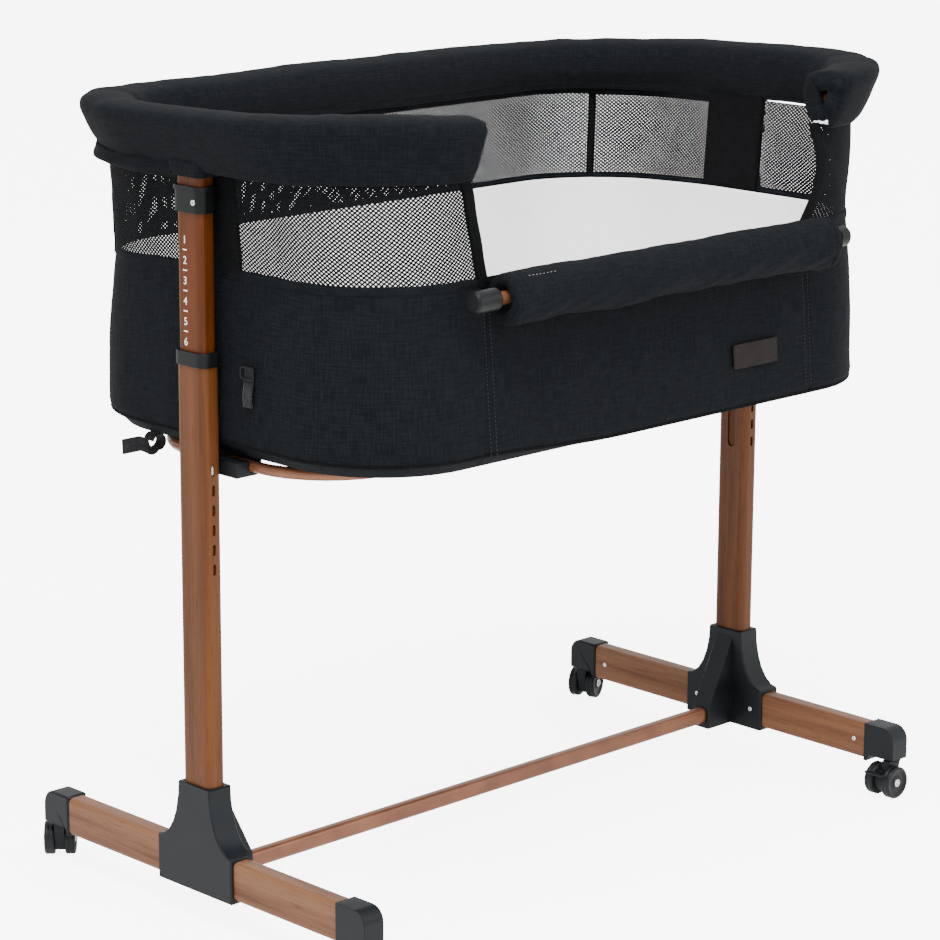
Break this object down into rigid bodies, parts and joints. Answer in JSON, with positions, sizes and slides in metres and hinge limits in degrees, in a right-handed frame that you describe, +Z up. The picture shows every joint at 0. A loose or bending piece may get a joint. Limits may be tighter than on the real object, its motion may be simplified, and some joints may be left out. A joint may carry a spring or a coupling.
{
  "type": "bassinet on stand",
  "caption": "Bedside bassinet: padded rim, mesh sides and fabric tub carried by two telescopic posts on feet with a cross bar and swivel casters; the front side rail lifts.",
  "frame": {"origin": "on the floor, under the middle of the bassinet", "axes": "+X along the length to the right end, +Z up, -Y towards the front, the side that drops"},
  "size_m": [0.9096, 0.5859, 0.8617],
  "materials": {
    "wood_grain_tube": "wood-grain foil, satin",
    "copper_tube": "copper-brown satin paint",
    "charcoal_plastic": "fine-textured moulding",
    "steel": "plain",
    "wheel_plastic": "smooth tread",
    "white_plastic": "plain",
    "charcoal_fabric": "woven, matt",
    "black_mesh": "open diamond mesh",
    "white_fabric": "smooth cotton",
    "board": "plain board",
    "label_leather": "blank",
    "webbing": "ribbed webbing"
  },
  "bodies": {
    "stand": {"foot_tube_left": "wood_grain_tube", "foot_tube_right": "wood_grain_tube", "t_joint_left": "charcoal_plastic", "t_joint_right": "charcoal_plastic", "outer_post_left": "wood_grain_tube", "outer_post_right": "wood_grain_tube", "post_collar_left": "charcoal_plastic", "post_collar_right": "charcoal_plastic", "cross_bar": "copper_tube", "foot_cap_front_left": "charcoal_plastic", "foot_cap_front_right": "charcoal_plastic", "foot_cap_rear_left": "charcoal_plastic", "foot_cap_rear_right": "charcoal_plastic"},
    "carriage": {"inner_post_left": "wood_grain_tube", "inner_post_right": "wood_grain_tube", "post_clamp_left": "charcoal_plastic", "post_clamp_right": "charcoal_plastic", "head_plug_left": "charcoal_plastic", "head_plug_right": "charcoal_plastic", "lower_bracket_left": "charcoal_plastic", "lower_bracket_right": "charcoal_plastic", "lower_ring": "copper_tube", "tub_shell": "charcoal_fabric", "base_board": "board", "mattress": "white_fabric", "inner_liner": "white_fabric", "mesh_wall": "black_mesh", "rim_tube": "copper_tube", "rim_pad": "charcoal_fabric", "label": "label_leather", "anchor_strap": "webbing"},
    "drop_side": {"front_rail": "copper_tube", "front_roll": "black_mesh", "rail_hub_left": "charcoal_plastic", "rail_hub_right": "charcoal_plastic"},
    "button_left": {"lock_button_left": "white_plastic"},
    "button_right": {"lock_button_right": "white_plastic"},
    "caster_front_left": {"caster_yoke_front_left": "charcoal_plastic"},
    "wheels_front_left": {"caster_axle_front_left": "steel", "wheel_inner_front_left": "wheel_plastic", "wheel_outer_front_left": "wheel_plastic"},
    "brake_front_left": {"brake_lever_front_left": "charcoal_plastic"},
    "caster_front_right": {"caster_yoke_front_right": "charcoal_plastic"},
    "wheels_front_right": {"caster_axle_front_right": "steel", "wheel_inner_front_right": "wheel_plastic", "wheel_outer_front_right": "wheel_plastic"},
    "brake_front_right": {"brake_lever_front_right": "charcoal_plastic"},
    "caster_rear_left": {"caster_yoke_rear_left": "charcoal_plastic"},
    "wheels_rear_left": {"caster_axle_rear_left": "steel", "wheel_inner_rear_left": "wheel_plastic", "wheel_outer_rear_left": "wheel_plastic"},
    "brake_rear_left": {"brake_lever_rear_left": "charcoal_plastic"},
    "caster_rear_right": {"caster_yoke_rear_right": "charcoal_plastic"},
    "wheels_rear_right": {"caster_axle_rear_right": "steel", "wheel_inner_rear_right": "wheel_plastic", "wheel_outer_rear_right": "wheel_plastic"},
    "brake_rear_right": {"brake_lever_rear_right": "charcoal_plastic"}
  },
  "joints": [
    {"name": "height", "type": "slide", "parent": "stand", "child": "carriage", "axis": [0, 0, 1], "range_m": [-0.105, 0]},
    {"name": "drop_side_lift", "type": "slide", "parent": "carriage", "child": "drop_side", "axis": [0, 0, 1], "range_m": [0, 0.115]},
    {"name": "lock_left", "type": "slide", "parent": "carriage", "child": "button_left", "axis": [0, 1, 0], "range_m": [0, 0.004], "stiffness_N_per_m": 400},
    {"name": "lock_right", "type": "slide", "parent": "carriage", "child": "button_right", "axis": [0, 1, 0], "range_m": [0, 0.004], "stiffness_N_per_m": 400},
    {"name": "swivel_front_left", "type": "hinge", "parent": "stand", "child": "caster_front_left", "pos_m": [-0.42, -0.2523, 0.05], "axis": [0, 0, 1], "continuous": true},
    {"name": "roll_front_left", "type": "hinge", "parent": "caster_front_left", "child": "wheels_front_left", "pos_m": [-0.40872, -0.2482, 0.019], "axis": [-0.342, 0.9397, 0], "continuous": true},
    {"name": "brake_front_left", "type": "hinge", "parent": "caster_front_left", "child": "brake_front_left", "pos_m": [-0.40121, -0.24546, 0.0286], "axis": [-0.342, 0.9397, 0], "range_deg": [0, 15]},
    {"name": "swivel_front_right", "type": "hinge", "parent": "stand", "child": "caster_front_right", "pos_m": [0.42, -0.2523, 0.05], "axis": [0, 0, 1], "continuous": true},
    {"name": "roll_front_right", "type": "hinge", "parent": "caster_front_right", "child": "wheels_front_right", "pos_m": [0.408, -0.2523, 0.019], "axis": [0, -1, 0], "continuous": true},
    {"name": "brake_front_right", "type": "hinge", "parent": "caster_front_right", "child": "brake_front_right", "pos_m": [0.4, -0.2523, 0.0286], "axis": [0, -1, 0], "range_deg": [0, 15]},
    {"name": "swivel_rear_left", "type": "hinge", "parent": "stand", "child": "caster_rear_left", "pos_m": [-0.42, 0.2523, 0.05], "axis": [0, 0, 1], "continuous": true},
    {"name": "roll_rear_left", "type": "hinge", "parent": "caster_rear_left", "child": "wheels_rear_left", "pos_m": [-0.41197, 0.26122, 0.019], "axis": [-0.7431, 0.6691, 0], "continuous": true},
    {"name": "brake_rear_left", "type": "hinge", "parent": "caster_rear_left", "child": "brake_rear_left", "pos_m": [-0.40662, 0.26716, 0.0286], "axis": [-0.7431, 0.6691, 0], "range_deg": [0, 15]},
    {"name": "swivel_rear_right", "type": "hinge", "parent": "stand", "child": "caster_rear_right", "pos_m": [0.42, 0.2523, 0.05], "axis": [0, 0, 1], "continuous": true},
    {"name": "roll_rear_right", "type": "hinge", "parent": "caster_rear_right", "child": "wheels_rear_right", "pos_m": [0.43113, 0.25679, 0.019], "axis": [-0.3746, 0.9272, 0], "continuous": true},
    {"name": "brake_rear_right", "type": "hinge", "parent": "caster_rear_right", "child": "brake_rear_right", "pos_m": [0.43854, 0.25979, 0.0286], "axis": [-0.3746, 0.9272, 0], "range_deg": [0, 15]}
  ]
}
